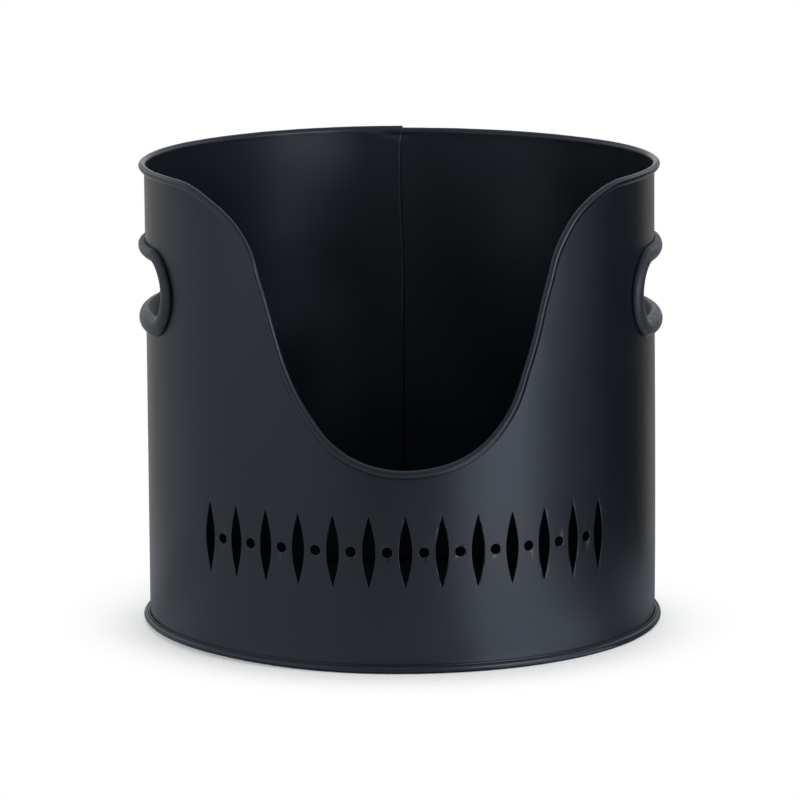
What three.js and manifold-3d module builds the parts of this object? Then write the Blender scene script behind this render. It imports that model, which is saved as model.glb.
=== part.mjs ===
// Kindling bucket: a round drum of black powder-coated sheet steel with a scooped front.
// Millimetres, +Z up. The scoop faces -Y and the origin is under the middle of the base.

import * as THREE from "three";
import { mergeVertices } from "three/addons/utils/BufferGeometryUtils.js";
import Module from "manifold-3d";

const wasm = await Module();
wasm.setup();

// The drum
const wallRadius = 150; // outside of the wall
const rimHeight = 273.5; // ground to the top of the rolled rim
const sheet = 0.8; // steel sheet of the wall and of the base
const clearance = 0.3; // between two pieces that touch

// The rolled rim, with a stiffening wire inside the roll
const wireRadius = 0.9;
const rollMouth = 0.35; // least way from the roll's free edge to the wall
const wireEndGap = 1; // between the wire's two ends at the back

// The scoop, drawn on the unrolled sheet and measured to the top of the rolled rim
const scoopLowest = 117.5; // ground to the lowest point of the scoop
const scoopRadius = 70; // of the round bottom
const shoulderRadius = 65; // where the flanks run out into the level rim
const scoopLeanDegrees = 17.5; // of the straight flanks from upright

// The lap at the back, where the rolled sheet's two ends lie on each other
const lapOffset = 3.7; // of the inner end's edge from the middle of the back
const lapWidth = 12;
const lapBlend = 16; // run in which the inner end eases back to the wall's radius
const sheetEdge = 0.2; // run of the small step at a sheet's edge

// The seam that holds the base: the wall's foot is hooked, and the base curls round the hook
const hookRadius = 0.45; // inside of the hook
const seamReach = 3.7; // how far the curl stands out from the wall
const curlMouth = 0.4; // from the curl's free edge to the wall

// The base, a disc whose middle is pressed up so that it stands on its edge
const footWidth = 13; // flat ring that it stands on, inside the wall's outer face
const dishSlope = 8;
const dishRise = 2.5;

// The hand holes at both sides, and the rubber grips pushed over their cut edges
const holeDrop = 69.8; // top of the rolled rim down to the middle of a hole
const holeLength = 123; // clear length round the wall, between the grips
const holeWidth = 32.3; // clear height
const gripWidth = 10.2; // of the grip's rounded section, along the wall
const gripCrest = 6; // from the clear hole to the section's highest line
const gripOutside = 4.5; // how far the grip stands out from the wall
const gripInside = 4.3; // how far it stands into the drum
const gripBite = 3; // from the clear hole to the wall's cut edge

// The pierced band on the front: upright leaf-shaped openings with a small round hole between
const bandHeight = 70; // ground to the middle of the band
const bandLength = 251; // round the wall, between the outermost leaves' middles
const leafCount = 13;
const leafHeight = 42;
const leafWidth = 7.6;
const dotRadius = 3;

// How finely curves are cut into flats
const scoopArcSteps = 7;
const flankSteps = 3;
const rimSteps = 28;
const rollSteps = 6;
const rollInnerSteps = 5;
const hookSteps = 3;
const bendSteps = 2;
const wireSides = 6;
const baseSegments = 72;
const gripArcSteps = 3;
const gripRunSteps = 8;
const capSteps = 8;
const leafSteps = 6;
const dotSides = 8;

const cutOverrun = 30; // how far a cutter runs past the wall on either side
const cutHold = 2; // and how far from it the cutter keeps its exact outline

// Sizes that follow
const rollRadius = wireRadius + clearance + sheet;
const rollCentre = rollRadius - sheet;
const curlRadius = hookRadius + sheet + clearance + sheet;
const curlCentre = wallRadius + seamReach - curlRadius;
const bendRadius = curlCentre - wallRadius + sheet;
const bendCentre = sheet + clearance + bendRadius;
const dishRadius = wallRadius - footWidth;
const holeHeight = rimHeight - holeDrop;
const halfTurn = Math.PI * wallRadius;
const flankAngle = THREE.MathUtils.degToRad(90 - scoopLeanDegrees);
const runHalf = (holeLength - holeWidth) / 2;

// Materials
const powderCoat = new THREE.MeshStandardMaterial({ color: 0x2d3033, roughness: 0.45, metalness: 0.25 });
const baseCoat = new THREE.MeshStandardMaterial({ color: 0x26292c, roughness: 0.5, metalness: 0.25 });
const drawnWire = new THREE.MeshStandardMaterial({ color: 0x8d9194, roughness: 0.4, metalness: 0.9 });
const blackRubber = new THREE.MeshStandardMaterial({ color: 0x34373a, roughness: 0.6, metalness: 0 });

// A point on the drum: round the wall from the front, up from the ground, out from the axis
function onDrum(around, height, radius) {
  const angle = around / wallRadius;
  return new THREE.Vector3(radius * Math.sin(angle), -radius * Math.cos(angle), height);
}

// A closed mesh from rings of points. Each ring joins the next; an open row gets flat ends.
function ringMesh(rings, isLoop) {
  const count = rings[0].length;
  const positions = rings.flat().flatMap((point) => point.toArray());
  const index = [];
  const joins = isLoop ? rings.length : rings.length - 1;
  for (let i = 0; i < joins; i++) {
    const here = i * count;
    const there = ((i + 1) % rings.length) * count;
    for (let k = 0; k < count; k++) {
      const next = (k + 1) % count;
      index.push(here + k, here + next, there + next);
      index.push(here + k, there + next, there + k);
    }
  }
  const last = (rings.length - 1) * count;
  for (let k = 1; k < count - 1 && !isLoop; k++) {
    index.push(0, k + 1, k);
    index.push(last, last + k, last + k + 1);
  }
  const geometry = new THREE.BufferGeometry();
  geometry.setAttribute("position", new THREE.Float32BufferAttribute(positions, 3));
  geometry.setIndex(index);
  return geometry;
}

// Points of an arc in a plane, with both ends
function arcPoints(x, y, radius, startAngle, endAngle, steps) {
  const points = [];
  for (let k = 0; k <= steps; k++) {
    const angle = startAngle + ((endAngle - startAngle) * k) / steps;
    points.push(new THREE.Vector2(x + radius * Math.cos(angle), y + radius * Math.sin(angle)));
  }
  return points;
}

// The rim's edge on the unrolled sheet
// Each station has its way round, its height and the slope of the edge there.
function scoopStations() {
  const stations = [];
  const bottomCentre = scoopLowest + scoopRadius;
  for (let k = 0; k <= scoopArcSteps; k++) {
    const slope = (flankAngle * k) / scoopArcSteps;
    const around = scoopRadius * Math.sin(slope);
    stations.push({ around, height: bottomCentre - scoopRadius * Math.cos(slope), slope });
  }
  const foot = stations[scoopArcSteps];
  const shoulderDrop = shoulderRadius * (1 - Math.cos(flankAngle));
  const rise = rimHeight - shoulderDrop - foot.height;
  const run = rise / Math.tan(flankAngle);
  for (let k = 1; k < flankSteps; k++) {
    const part = k / flankSteps;
    stations.push({ around: foot.around + run * part, height: foot.height + rise * part, slope: flankAngle });
  }
  const shoulderCentre = foot.around + run + shoulderRadius * Math.sin(flankAngle);
  for (let k = 0; k <= scoopArcSteps; k++) {
    const slope = flankAngle * (1 - k / scoopArcSteps);
    const around = shoulderCentre - shoulderRadius * Math.sin(slope);
    stations.push({ around, height: rimHeight - shoulderRadius * (1 - Math.cos(slope)), slope });
  }
  return stations;
}

// All stations once round, from the middle of the back to the middle of the back
function edgeStations() {
  const right = scoopStations();
  const shoulderEnd = right[right.length - 1].around;
  const left = right.slice(1).map((station) => ({
    around: -station.around,
    height: station.height,
    slope: -station.slope,
  }));
  const level = [];
  for (let k = 1; k <= rimSteps; k++) {
    const around = shoulderEnd + ((halfTurn - shoulderEnd) * k) / rimSteps;
    level.push(around);
    if (k < rimSteps) {
      level.push(-around);
    }
  }
  // The lap's inner edge lies just past the middle of the back, on the way round from the front
  const innerEdge = halfTurn - lapOffset;
  const outerEdge = innerEdge + lapWidth;
  const lapEnds = [innerEdge - sheetEdge, innerEdge, outerEdge, outerEdge + sheetEdge, outerEdge + lapBlend];
  const nearLap = (around) => {
    const way = around < 0 ? around + 2 * halfTurn : around;
    return way > innerEdge - lapWidth / 2 && way < outerEdge + lapBlend + lapWidth / 2;
  };
  const plain = level.filter((around) => !nearLap(around));
  const round = plain.concat(lapEnds.map((way) => (way > halfTurn ? way - 2 * halfTurn : way)));
  const flat = round.map((around) => ({ around, height: rimHeight, slope: 0 }));
  return right.concat(left, flat).sort((a, b) => a.around - b.around);
}

// The lap: how far, from 0 to 1 sheet, the inner face is doubled and the outer face dips
function lapAt(around) {
  const innerEdge = halfTurn - lapOffset;
  const way = around < 0 ? around + 2 * halfTurn : around;
  const past = way - innerEdge;
  const ramp = 1 - (past - lapWidth) / lapBlend;
  const isPast = past > -sheetEdge / 2;
  const doubled = isPast ? THREE.MathUtils.clamp(ramp, 0, 1) : 0;
  const dips = past > lapWidth + sheetEdge / 2 ? THREE.MathUtils.clamp(ramp, 0, 1) : 0;
  return { doubled, dips };
}

// A point of the rim's section: out from the wall's face, and up past the edge line
function onEdge(station, outward, upward) {
  const around = station.around - upward * Math.sin(station.slope);
  const height = station.height + upward * Math.cos(station.slope);
  return onDrum(around, height, wallRadius + outward);
}

// The wall's section at one station: up the inner face, round the roll, down to the hook
function wallRing(station) {
  const { doubled, dips } = lapAt(station.around);
  const mouthReach = (rollCentre - rollMouth) / (rollRadius + sheet);
  const rollEnd = -Math.acos(-mouthReach);
  const outerRadius = rollRadius + sheet * doubled;
  const innerRadius = rollCentre + sheet * dips;
  const rollOut = arcPoints(rollCentre, -rollRadius, outerRadius, Math.PI, rollEnd, rollSteps);
  const rollIn = arcPoints(rollCentre, -rollRadius, innerRadius, rollEnd, Math.PI, rollInnerSteps);
  const ring = rollOut.concat(rollIn).map((point) => onEdge(station, point.x, point.y));

  const wallAround = station.around + rollRadius * Math.sin(station.slope);
  const quarter = Math.PI / 2;
  const bendOut = arcPoints(curlCentre, bendCentre, bendRadius - sheet, Math.PI, 3 * quarter, bendSteps);
  const hookIn = arcPoints(curlCentre, curlRadius, hookRadius, -quarter, quarter, hookSteps);
  const hookOut = arcPoints(curlCentre, curlRadius, hookRadius + sheet, quarter, -quarter, hookSteps);
  const bendIn = arcPoints(curlCentre, bendCentre, bendRadius, 3 * quarter, Math.PI, bendSteps);
  bendOut[0].x -= sheet * dips;
  bendIn[bendSteps].x -= sheet * doubled;
  const foot = bendOut.concat(hookIn.slice(1), hookOut, bendIn.slice(1));
  return ring.concat(foot.map((point) => onDrum(wallAround, point.y, point.x)));
}

// Outline of a slot with round ends on the unrolled sheet, anticlockwise, grown by a margin
// Each point also has its outward direction. runSteps cuts the straight runs into flats.
function slotOutline(margin, runSteps) {
  const radius = holeWidth / 2 + margin;
  const outline = [];
  for (const side of [1, -1]) {
    for (let k = 0; k <= capSteps; k++) {
      const angle = -Math.PI / 2 + (Math.PI * k) / capSteps;
      const out = new THREE.Vector2(side * Math.cos(angle), side * Math.sin(angle));
      outline.push({ around: side * runHalf + radius * out.x, height: radius * out.y, out });
    }
    for (let k = 1; k < runSteps; k++) {
      const around = side * runHalf * (1 - (2 * k) / runSteps);
      outline.push({ around, height: side * radius, out: new THREE.Vector2(0, side) });
    }
  }
  return outline;
}

// A cutter that goes straight through the wall, square to it, with an outline from the sheet
function cutter(outline, around, height) {
  const reaches = [-cutOverrun, -cutHold, cutHold, cutOverrun];
  const rings = reaches.map((reach) =>
    outline.map((point) => onDrum(around + point.around, height + point.height, wallRadius + reach))
  );
  return ringMesh(rings, false);
}

function leafOutline() {
  const outline = [];
  for (let k = 0; k < 2 * leafSteps; k++) {
    const turn = (Math.PI * k) / leafSteps;
    const along = k <= leafSteps ? k / leafSteps : 2 - k / leafSteps;
    outline.push({ around: (leafWidth / 2) * Math.sin(turn), height: leafHeight * (along - 1 / 2) });
  }
  return outline;
}

function dotOutline() {
  const points = arcPoints(0, 0, dotRadius, 0, 2 * Math.PI, dotSides).slice(1);
  return points.map((point) => ({ around: point.x, height: point.y }));
}

// Booleans
function toManifold(geometry) {
  const bare = geometry.clone();
  bare.deleteAttribute("normal");
  bare.deleteAttribute("uv");
  const merged = mergeVertices(bare);
  const vertProperties = new Float32Array(merged.attributes.position.array);
  const triVerts = new Uint32Array(merged.index.array);
  return new wasm.Manifold(new wasm.Mesh({ numProp: 3, vertProperties, triVerts }));
}

function fromManifold(solid) {
  const mesh = solid.getMesh();
  const geometry = new THREE.BufferGeometry();
  geometry.setAttribute("position", new THREE.BufferAttribute(mesh.vertProperties, 3));
  geometry.setIndex(new THREE.BufferAttribute(mesh.triVerts, 1));
  return geometry;
}

// Wall
function wallGeometry(stations) {
  let wall = toManifold(ringMesh(stations.map(wallRing), true));
  const cutters = [];
  for (const side of [1, -1]) {
    cutters.push(cutter(slotOutline(gripBite, 1), (side * halfTurn) / 2, holeHeight));
  }
  const pitch = bandLength / (leafCount - 1);
  for (let k = 0; k < leafCount; k++) {
    const around = pitch * k - bandLength / 2;
    cutters.push(cutter(leafOutline(), around, bandHeight));
    if (k < leafCount - 1) {
      cutters.push(cutter(dotOutline(), around + pitch / 2, bandHeight));
    }
  }
  for (const shape of cutters) {
    wall = wall.subtract(toManifold(shape));
  }
  return fromManifold(wall);
}

// Wire: it follows the middle of the roll once round, and its two ends meet under the lap
function wireGeometry(stations) {
  const innerEdge = halfTurn - lapOffset;
  const between = stations.filter((station) => station.around < innerEdge - wireEndGap);
  const start = { around: innerEdge + wireEndGap / 2, height: rimHeight, slope: 0 };
  const end = { around: innerEdge - wireEndGap / 2, height: rimHeight, slope: 0 };
  const route = [start, ...between, end];
  const section = arcPoints(rollCentre, -rollRadius, wireRadius, 2 * Math.PI, 0, wireSides).slice(1);
  return ringMesh(route.map((station) => section.map((p) => onEdge(station, p.x, p.y))), false);
}

// Base: a dished disc whose edge curls up and over the wall's hook
function baseGeometry() {
  const quarter = Math.PI / 2;
  const seamHeight = 2 * curlRadius;
  const mouth = wallRadius + curlMouth;
  const profile = [
    new THREE.Vector2(0, dishRise),
    new THREE.Vector2(dishRadius - dishSlope, dishRise),
    new THREE.Vector2(dishRadius, 0),
    ...arcPoints(curlCentre, curlRadius, curlRadius, -quarter, quarter, 2 * hookSteps),
    new THREE.Vector2(mouth, seamHeight),
    new THREE.Vector2(mouth, seamHeight - sheet),
    ...arcPoints(curlCentre, curlRadius, curlRadius - sheet, quarter, -quarter, hookSteps + 1),
    new THREE.Vector2(dishRadius, sheet),
    new THREE.Vector2(dishRadius - dishSlope, dishRise + sheet),
    new THREE.Vector2(0, dishRise + sheet),
  ];
  return new THREE.LatheGeometry(profile, baseSegments).rotateX(quarter);
}

// Grip: a rounded rubber section with a slot for the wall's edge, carried round the hole
function gripGeometry(side) {
  const quarter = Math.PI / 2;
  const lip = gripWidth - gripCrest;
  const section = [];
  const addQuarter = (x, y, width, height, startAngle) => {
    for (let k = 0; k < gripArcSteps; k++) {
      const angle = startAngle + (quarter * k) / gripArcSteps;
      section.push(new THREE.Vector2(x + width * Math.cos(angle), y + height * Math.sin(angle)));
    }
  };
  const slotTop = clearance;
  const slotBottom = -sheet - clearance;
  const slotEnd = gripBite - clearance;
  addQuarter(gripCrest, slotTop, lip, gripOutside - slotTop, 0);
  addQuarter(gripCrest, 0, gripCrest, gripOutside, quarter);
  section.push(new THREE.Vector2(0, 0));
  addQuarter(gripCrest, -sheet, gripCrest, gripInside, 2 * quarter);
  addQuarter(gripCrest, slotBottom, lip, gripInside + sheet + slotBottom, 3 * quarter);
  section.push(new THREE.Vector2(gripWidth, slotBottom));
  section.push(new THREE.Vector2(slotEnd, slotBottom));
  section.push(new THREE.Vector2(slotEnd, slotTop));
  section.reverse();
  const middle = (side * halfTurn) / 2;
  const rings = slotOutline(0, gripRunSteps).map((station) =>
    section.map((point) => {
      const around = middle + station.around + point.x * station.out.x;
      const height = holeHeight + station.height + point.x * station.out.y;
      return onDrum(around, height, wallRadius + point.y);
    })
  );
  return ringMesh(rings, true);
}

// The bucket
const bucket = new THREE.Group();
function addPiece(name, geometry, material) {
  const mesh = new THREE.Mesh(geometry, material);
  mesh.name = name;
  bucket.add(mesh);
}

const stations = edgeStations();
addPiece("body_wall", wallGeometry(stations), powderCoat);
addPiece("rim_wire", wireGeometry(stations), drawnWire);
addPiece("base_pan", baseGeometry(), baseCoat);
addPiece("hand_hole_grip_left", gripGeometry(-1), blackRubber);
addPiece("hand_hole_grip_right", gripGeometry(1), blackRubber);

export default bucket;
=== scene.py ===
"""Looks of the kindling bucket: black powder-coated sheet steel with rubber-edged hand holes.

Sizes are in millimetres and become metres where a mesh is made. A place on the drum is given by
its way round the wall from the middle of the front (towards +X), its height above the ground, and
how far it stands out from the wall's outer face.
"""

import math

import bmesh
import bpy
import numpy as np
from mathutils import Matrix, Vector


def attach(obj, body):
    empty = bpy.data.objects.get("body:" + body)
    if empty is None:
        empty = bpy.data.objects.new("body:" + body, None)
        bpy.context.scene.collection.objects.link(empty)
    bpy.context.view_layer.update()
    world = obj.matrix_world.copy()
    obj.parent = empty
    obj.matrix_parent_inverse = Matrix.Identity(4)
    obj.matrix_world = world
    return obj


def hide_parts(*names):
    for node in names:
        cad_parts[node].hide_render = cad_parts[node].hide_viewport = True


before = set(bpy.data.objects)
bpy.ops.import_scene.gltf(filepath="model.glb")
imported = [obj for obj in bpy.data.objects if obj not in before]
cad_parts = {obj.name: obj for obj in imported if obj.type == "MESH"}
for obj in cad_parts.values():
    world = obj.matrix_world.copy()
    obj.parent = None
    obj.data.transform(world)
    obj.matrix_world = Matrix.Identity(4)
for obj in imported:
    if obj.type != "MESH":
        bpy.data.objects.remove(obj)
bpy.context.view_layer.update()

MM = 0.001

# The drum
WALL_RADIUS = 150.0
RIM_HEIGHT = 273.5
SHEET = 0.8
CIRCUMFERENCE = 2 * math.pi * WALL_RADIUS
BACK = CIRCUMFERENCE / 2

# How the drum is out of true. A span says where a change starts and where it ends.
RIGHT_AT_FOOT = 0.72
RIGHT_ABOVE_FOOT = 0.18
RIGHT_ABOVE_FOOT_SPAN = (6.0, 26.0)
RIGHT_NARROWING = 1.75
RIGHT_NARROWING_SPAN = (40.0, 290.0)
LEFT_PER_MM = 0.0018

# Waves of the rolled sheet: each sine's share, waves round the drum, start and turn up to the rim
WAVE_SIZE = 0.07
WAVES = ((1.0, 2, 0.7, 1.1), (0.7, 5, 2.1, -2.3), (0.35, 11, 0.4, 4.0))

# The rolled rim: a drop-shaped section, with its tip below, that starts at the wall's inner face
ROLL_OUT = 3.2
ROLL_HALF_WIDTH = 2.06
ROLL_APEX = ROLL_OUT - ROLL_HALF_WIDTH
ROLL_INNER_DROP = 2.7
ROLL_OUTER_DROP = 1.9
ROLL_TIP_DROP = 3.4
ROLL_TIP_GAP = 0.3
ROLL_SHEET = 0.72
ROLL_START = 186.0
ROLL_DEPTH = ROLL_INNER_DROP * (1.0 - math.sin(math.radians(ROLL_START)))
NECK_DEPTH = -ROLL_HALF_WIDTH * math.cos(math.radians(ROLL_START)) - ROLL_APEX - SHEET
ROLL_LEAN_IN = 0.14
ROLL_LEAN_STARTS = (0.0, 6.0)
ROLL_LEAN_ENDS = (120.0, 180.0)
ROLL_TIP_POWER = 1.4
ROLL_UNEVEN = 0.03
ROLL_RIPPLE_FINE = 1.9
ROLL_RIPPLE_COARSE = 4.3
ROLL_RIPPLE_GROUP = 31.0
NECK_REACH = 3.0
WIRE_RADIUS = 0.9
WIRE_OUT = 1.18
WIRE_DROP = 2.1
WIRE_END_GAP = 1.0
WIRE_SIDES = 10

# The scoop, on the unrolled sheet
SCOOP_LOWEST = 117.5
SCOOP_RADIUS = 70.0
SHOULDER_RADIUS = 65.0
SCOOP_LEAN = math.radians(17.5)

# Where the cut runs off that even line. A bell is its size, its middle and its reach.
CUT_LEFT_SPAN = (0.0, 20.0)
CUT_RIGHT_SPAN = (0.0, 25.0)
CUT_LEFT_BELLS = ((3.9, 149.0, 19.0), (-0.5, 153.0, 8.0), (-0.6, 225.0, 9.0))
CUT_RIGHT_BELLS = (
    (2.6, 122.0, 16.0), (0.8, 146.0, 17.0), (1.1, 188.0, 17.0), (0.5, 224.0, 11.0), (-1.3, 262.0, 10.0),
)
LEFT_SHOULDER_BELLS = ((2.0, -121.0, 19.0),)

# The lap at the back. The inner end's edge is partly a sharp step and partly rounded.
LAP_OFFSET = 3.7
LAP_EDGE = BACK - LAP_OFFSET
LAP_WIDTH = 12.0
LAP_BLEND = 16.0
LAP_SHARP_SHARE = 0.45
LAP_SHARP_RUN = 0.12
LAP_ROUND_RUN = 0.8
LAP_OUTER_RUN = 0.55
LAP_LEAN = 1.4
LAP_LEAN_REACH = (24.0, 64.0)
LAP_LEAN_STARTS = (3.0, 10.0)
LAP_LEAN_ENDS = (44.0, 86.0)

# How the rim isn't level: its step at the lap, and its rise at the sides. The spans of the rise go by
# the sine and the cosine of the angle.
LAP_STEP = 0.66
LAP_STEP_RUN = 0.9
LAP_STEP_EASE = 260.0
LAP_DROP = 0.5
LAP_DROP_RUN = 0.55
LAP_DROP_ENDS = (100.0, 210.0)
SIDE_RISE = 0.2
SIDE_RISE_SINES = (0.72, 0.92)
FRONT_SIDE_RISE = 0.53
FRONT_SIDE_RISE_COSINES = (-0.15, 0.15)
RISE_BELOW_RIM = (-60.0, -5.0)

# The lap's marks on the inner face, as depths, bells down from the rim (middle and reach) and bells
# along from the lap's edge
GROOVE_DEPTH = 0.4
GROOVE_ALONG = (-0.3, 0.28)
GROOVE_STARTS = (3.0, 6.0)
DENT_DEPTH = 0.5
DENT_DOWN = (4.8, 1.6)
DENT_ALONG = (2.5, 8.5)
FOLD_DEPTH = -0.25
FOLD_DOWN = (8.2, 1.8)
FOLD_SLOPE = 0.2
FOLD_SLOPES_FROM = 2.0
FOLD_ALONG = (6.5, 7.0)
CREASE_DEPTH = 0.4
CREASE_DOWN = (13.0, 1.1)
CREASE_SLOPE = 0.9
CREASE_ALONG = (5.5, 2.6)
SWELL_DEPTH = -0.4
SWELL_DOWN = (4.5, 3.0)
SWELL_ALONG = (19.0, 6.0)
LINE_DEPTH = 0.1
LINE_ALONG = (8.4, 0.7)
LINE_STARTS = (12.0, 22.0)
LINE_ENDS = (50.0, 70.0)
MARK_SHARES_ON_ROLL = [1.0, 0.8, 0.4]

# The foot: the wall's hook, and the base's curl round it with a clearance
HOOK_CLEARANCE = 0.3
HOOK_RADIUS = 0.45
SEAM_REACH = 3.7
CURL_RADIUS = 2.35
CURL_CENTRE = WALL_RADIUS + SEAM_REACH - CURL_RADIUS
BEAD_HEIGHT = 2 * CURL_RADIUS
BEND_RADIUS = CURL_CENTRE - WALL_RADIUS + SHEET
BEND_CENTRE = HOOK_CLEARANCE + SHEET + BEND_RADIUS
DISH_RADIUS = 137.0
DISH_SLOPE = 8.0
DISH_RISE = 2.5
DISH_STEPS = 12
FLAT_STEPS = 14

# The curl's lip, outwards from the wall's outer face and up from the ground: the groove that the
# tool leaves, the top of the lip, and its back beside the wall
LIP_GROOVE = [[1.86, 4.25], [1.74, 3.98], [1.56, 3.93], [1.4, 4.04], [1.31, 4.4]]
LIP_TOP = [[1.26, 4.75], [1.1, 5.02], [0.85, 5.12]]
LIP_BACK = [[0.58, 5.05], [0.42, 4.8], [0.38, 4.3], [0.42, 3.85], [0.8, 3.72], [1.4, 3.68]]

# The lift of the foot, by degrees from the middle of the front towards -X, and by height
FOOT_LIFT = 1.4
FOOT_LIFT_STARTS = (8.0, 53.0)
FOOT_LIFT_ENDS = (75.0, 100.0)
FOOT_LIFT_LESS_ON_BEAD = 0.43
FOOT_LIFT_EASES = (5.0, 45.0)
BASE_LIFT_RADII = (125.0, 145.0)
BASE_STEPS = 360

# Hand holes and grips. Across the edging: its whole width, its crest from the inner edge, how far it
# stands out and in, and how far its slot bites over the sheet.
HOLE_HEIGHT_LEFT = 203.7
HOLE_HEIGHT_RIGHT = 201.9
HOLE_LENGTH = 123.0
HOLE_WIDTH = 32.3
HOLE_STEPS = 160
GRIP_STEPS = 300
GRIP_WIDTH = 11.6
GRIP_CREST = 6.4
GRIP_OUTSIDE_LEFT = 4.05
GRIP_OUTSIDE_RIGHT = 4.7
GRIP_INSIDE = 4.3
GRIP_BITE = 3.0
GRIP_HIGH_LEFT = 0.9
GRIP_HIGH_RIGHT = 0.2
GRIP_NARROWER_LEFT = 2.8
GRIP_NARROWER_RIGHT = 1.2
GRIP_NARROWER_BELOW = 1.2
GRIP_CLEARANCE = 0.3
OUTSIDE_LIP_RADIUS = 0.9
OUTSIDE_LIP_TUCK = 0.8
INSIDE_LIP_RADIUS = 1.3
INSIDE_LIP_TUCK = 0.7
INSIDE_LIP_GAP = 1.0

# How bending nips the grips' lips in and lets their crest sag: waves round the hole, each by its size,
# count, start and share of the grip's own phase, how far they reach, and how far off the wall the
# sagging begins
NIPS = ((0.5, 41, 0.0, 1), (0.35, 57, 0.0, 2), (0.3, 23, 1.0, 0))
SAGS = ((1.0, 7, 0.0, 1), (0.6, 13, 2.0, 0))
NIP_SIZE = 0.16
NIP_SET_IN = 0.12
NIP_LIFT = 0.1
SAG_SHARE = 0.012
SAGS_FROM = 1.0

# Each hand hole's side, height, how much its edging lies high, and how much narrower it is on top
HAND_HOLES = (
    (1, HOLE_HEIGHT_RIGHT, GRIP_HIGH_RIGHT, GRIP_NARROWER_RIGHT),
    (-1, HOLE_HEIGHT_LEFT, GRIP_HIGH_LEFT, GRIP_NARROWER_LEFT),
)
GRIP_PHASE_LEFT = 0.3
GRIP_PHASE_RIGHT = 1.9

# The pierced band, and the rounding of all cut edges, as shares of its radius
BAND_HEIGHT = 70.0
BAND_LENGTH = 251.0
LEAF_COUNT = 13
LEAF_HEIGHT = 42.0
LEAF_WIDTH = 7.6
LEAF_STEPS = 19
DOT_RADIUS = 3.0
DOT_SIDES = 32
CUT_ROUNDING = 0.16
CUT_DEPTH_SHARES = [-5.0, 0.0, 0.35, 0.75, 1.4]
CUT_WIDENING_SHARES = [1.9, 0.8, 0.35, 0.12, 0.0]
PLUG_REACH = 30.0


def smooth(x):
    """Eases from 0 to 1 as x goes from 0 to 1: three x squared less two x cubed."""
    x = np.clip(x, 0.0, 1.0)
    return x * x * (3.0 - 2.0 * x)


def ramp(x, start, end):
    """Eases from 0 at the start to 1 at the end."""
    return smooth((x - start) / (end - start))


def hump(x, middle, reach):
    """A bell of height 1: the exponential of minus the squared distance over the reach squared."""
    return np.exp(-(((x - middle) / reach) ** 2))


def humps(x, bells):
    """The sum of bells, each of its own size, middle and reach."""
    return sum(size * hump(x, middle, reach) for size, middle, reach in bells)


def around_gap(way, place):
    """Signed way along the wall from a place, by the shorter side round the drum."""
    return (way - place + BACK) % CIRCUMFERENCE - BACK


def wave(way, height):
    """Slight unevenness of rolled sheet: sines round the drum that turn a little with height.

    It dies out at the rim and at the foot, where the roll and the hook stiffen the sheet.
    """
    angle = way / WALL_RADIUS
    rise = height / RIM_HEIGHT
    held = np.sin(np.pi * np.clip(rise, 0.0, 1.0))
    total = 0.0
    for share, waves, start, turn in WAVES:
        total = total + share * np.sin(waves * angle + start + turn * rise)
    return WAVE_SIZE * held * total


def out_of_true(angle, height):
    """How far the drum stands off a true cylinder.

    Its right side narrows in a soft S as it rises, and its left side widens evenly, each by the
    square of the sine of the angle, so that the front and the back stay where they are.
    """
    across = np.sin(angle)
    right = RIGHT_AT_FOOT + RIGHT_ABOVE_FOOT * ramp(height, *RIGHT_ABOVE_FOOT_SPAN)
    right = right - RIGHT_NARROWING * ramp(height, *RIGHT_NARROWING_SPAN)
    left = LEFT_PER_MM * height
    return np.where(across > 0, right, left) * across * across


def foot_lift(angle, height):
    """The foot stands a little off the ground at the left front, its underside more than its top."""
    turned = -np.degrees((angle + np.pi) % (2 * np.pi) - np.pi)
    reach = ramp(turned, *FOOT_LIFT_STARTS) * (1.0 - ramp(turned, *FOOT_LIFT_ENDS))
    less_on_top = 1.0 - FOOT_LIFT_LESS_ON_BEAD * ramp(height, 0.0, BEAD_HEIGHT)
    return FOOT_LIFT * reach * less_on_top * (1.0 - ramp(height, *FOOT_LIFT_EASES))


def on_drum(way, height, outward):
    """Points of the drum in metres: the angle is the way over the radius, and x and y follow it."""
    angle = way / WALL_RADIUS
    radius = WALL_RADIUS + outward + wave(way, height) + out_of_true(angle, height)
    high = height + foot_lift(angle, height)
    points = np.stack([radius * np.sin(angle), -radius * np.cos(angle), high + 0.0 * angle], axis=-1)
    return points * MM


# Objects and meshes
def placed(name, data):
    """A new object of that data, in the scene."""
    made = bpy.data.objects.new(name, data)
    bpy.context.scene.collection.objects.link(made)
    return made


def mesh_object(name, points, faces):
    """An object from an array of points and a list of faces, each a list of its points' numbers."""
    mesh = bpy.data.meshes.new(name)
    mesh.from_pydata(points.reshape(-1, 3).tolist(), [], faces)
    mesh.update()
    return placed(name, mesh)


def ring_quads(ring_count, point_count, ring_loop=True, point_loop=True, first=0):
    """Quads between the rings of a grid. Rings and the points in them may close on themselves."""
    rings = np.arange(ring_count if ring_loop else ring_count - 1)
    points = np.arange(point_count if point_loop else point_count - 1)
    here, step = np.meshgrid(rings, points, indexing="ij")
    there = (here + 1) % ring_count
    after = (step + 1) % point_count
    corners = [
        here * point_count + step,
        here * point_count + after,
        there * point_count + after,
        there * point_count + step,
    ]
    return first + np.stack(corners, axis=-1).reshape(-1, 4)


def weld(mesh, reach_mm):
    """Merges points that lie on each other, within a reach, and drops what has no area left."""
    work = bmesh.new()
    work.from_mesh(mesh)
    bmesh.ops.remove_doubles(work, verts=work.verts, dist=reach_mm * MM)
    bmesh.ops.dissolve_degenerate(work, edges=work.edges, dist=reach_mm * MM / 10)
    work.to_mesh(mesh)
    work.free()


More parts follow.
